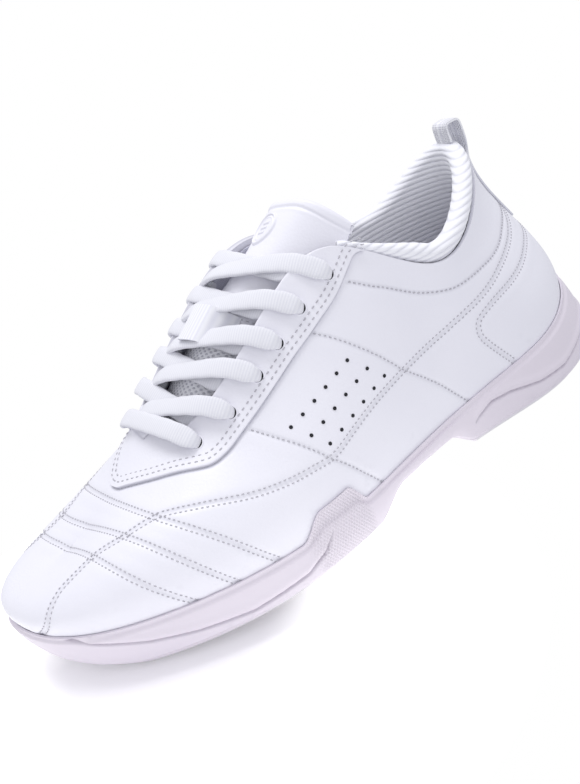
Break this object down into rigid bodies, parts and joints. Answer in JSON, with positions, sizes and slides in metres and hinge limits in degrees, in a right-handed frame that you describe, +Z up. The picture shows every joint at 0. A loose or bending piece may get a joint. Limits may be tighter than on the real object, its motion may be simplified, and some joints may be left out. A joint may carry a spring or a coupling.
{
  "type": "cheer shoe",
  "caption": "Low-cut lace-up white cheerleading shoe for the left foot, with a padded tongue, a split cup sole and a heel pull tab.",
  "frame": {"origin": "middle of the shoe's footprint box, on the floor that the sole stands on", "axes": "+X towards the heel, toe along -X; -Y is the outer (lateral) side of this left shoe; +Z up"},
  "size_m": [0.2582, 0.0894, 0.1105],
  "materials": {
    "sole_foam": "matte, fine pebble",
    "outsole_rubber": "matte, herringbone tread",
    "sole_board": "fibre board",
    "shank_plastic": "moulded",
    "footbed_textile": "knitted",
    "upper_leather": "smooth white synthetic leather with a fine grain",
    "stiffener": "heat-formed sheet",
    "lining_textile": "ribbed lining",
    "padding": "soft foam",
    "collar_textile": "ribbed stretch fabric over foam",
    "tongue_mesh": "open mesh",
    "badge_film": "pressed oval with a plain mark",
    "lace_textile": "flat ribbed lace",
    "aglet_plastic": "rolled film",
    "webbing": "ribbed webbing"
  },
  "bodies": {
    "shoe": {"midsole": "sole_foam", "forefoot_outsole": "outsole_rubber", "heel_outsole": "outsole_rubber", "arch_shank": "shank_plastic", "insole_board": "sole_board", "sockliner": "footbed_textile", "vamp": "upper_leather", "lateral_quarter": "upper_leather", "medial_quarter": "upper_leather", "eyestay": "upper_leather", "eyelet_reinforcement": "stiffener", "heel_panel": "upper_leather", "toe_puff": "stiffener", "heel_counter": "stiffener", "vamp_lining": "lining_textile", "quarter_lining": "lining_textile", "collar_foam": "padding", "collar_roll": "collar_textile", "tongue_mesh": "tongue_mesh", "tongue_facing": "upper_leather", "tongue_foam": "padding", "tongue_lining": "lining_textile", "lace_keeper": "webbing", "shoelace": "lace_textile", "lace_tail_lateral": "lace_textile", "lace_tail_medial": "lace_textile", "lateral_aglet": "aglet_plastic", "medial_aglet": "aglet_plastic", "heel_tape": "webbing"},
    "tongue_tip": {"tongue_tip_cover": "upper_leather", "tongue_tip_foam": "padding", "tongue_tip_lining": "lining_textile", "tongue_badge": "badge_film"},
    "pull_tab": {"heel_pull_tab": "webbing"}
  },
  "joints": [
    {"name": "tongue_flex", "type": "hinge", "parent": "shoe", "child": "tongue_tip", "pos_m": [0.01012, 0.0015, 0.10205], "axis": [0.287, -0.9579, 0], "range_deg": [0, 35]},
    {"name": "pull_tab_flex", "type": "hinge", "parent": "shoe", "child": "pull_tab", "pos_m": [0.09846, 0.00326, 0.09738], "axis": [0, 1, 0], "range_deg": [-20, 35]}
  ]
}
